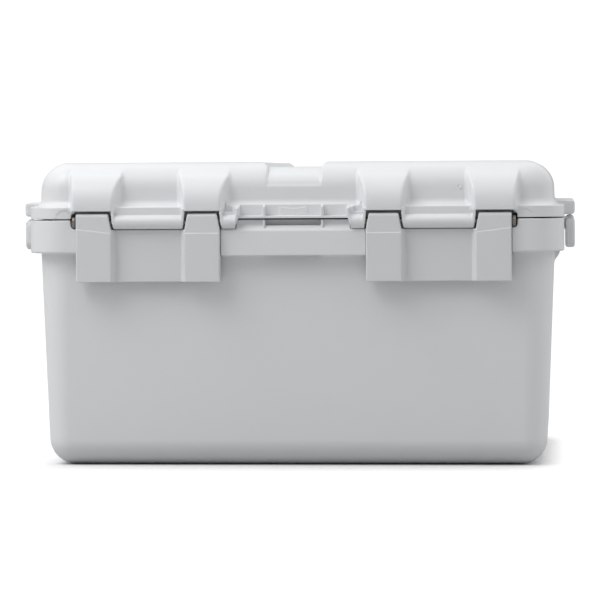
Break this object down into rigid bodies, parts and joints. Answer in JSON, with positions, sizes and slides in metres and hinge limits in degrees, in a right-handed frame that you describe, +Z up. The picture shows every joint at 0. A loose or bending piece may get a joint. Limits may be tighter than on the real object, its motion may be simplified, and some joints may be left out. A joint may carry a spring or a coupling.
{
  "type": "drone carrying case",
  "caption": "Moulded hard case for a quadcopter, with a hinged domed lid, two wide latches, folding side handles, a rim seal and cut foam trays inside.",
  "frame": {"origin": "centre of the base's flat underside", "axes": "+Z up, -Y towards the latches at the front, +X to the right seen from the front"},
  "size_m": [0.574, 0.413, 0.3115],
  "materials": {
    "shell": "satin",
    "hardware_plastic": "satin",
    "steel": "satin",
    "seal": "matte",
    "foam": "matte"
  },
  "bodies": {
    "base": {"base_shell": "shell", "base_pad": "foam", "accessory_tray": "foam", "drone_tray": "foam", "hinge_pin_left": "steel", "hinge_pin_right": "steel", "handle_pin_left_front": "steel", "handle_pin_left_rear": "steel", "handle_pin_right_front": "steel", "handle_pin_right_rear": "steel"},
    "lid": {"lid_shell": "shell", "rim_seal": "seal", "lid_foam": "foam", "vent_plug": "hardware_plastic", "latch_pin_left": "steel", "latch_pin_right": "steel"},
    "latch_left": {"latch_left": "hardware_plastic"},
    "latch_right": {"latch_right": "hardware_plastic"},
    "handle_left": {"side_handle_left": "hardware_plastic"},
    "handle_right": {"side_handle_right": "hardware_plastic"}
  },
  "joints": [
    {"name": "lid_hinge", "type": "hinge", "parent": "base", "child": "lid", "pos_m": [0, 0.1984, 0.2504], "axis": [-1, 0, 0], "range_deg": [0, 100]},
    {"name": "latch_left", "type": "hinge", "parent": "lid", "child": "latch_left", "pos_m": [-0.148, -0.1984, 0.2504], "axis": [-1, 0, 0], "range_deg": [0, 95]},
    {"name": "latch_right", "type": "hinge", "parent": "lid", "child": "latch_right", "pos_m": [0.148, -0.1984, 0.2504], "axis": [-1, 0, 0], "range_deg": [0, 95]},
    {"name": "handle_left", "type": "hinge", "parent": "base", "child": "handle_left", "pos_m": [-0.2825, 0, 0.2465], "axis": [0, 1, 0], "range_deg": [0, 90]},
    {"name": "handle_right", "type": "hinge", "parent": "base", "child": "handle_right", "pos_m": [0.2825, 0, 0.2465], "axis": [0, -1, 0], "range_deg": [0, 90]}
  ]
}
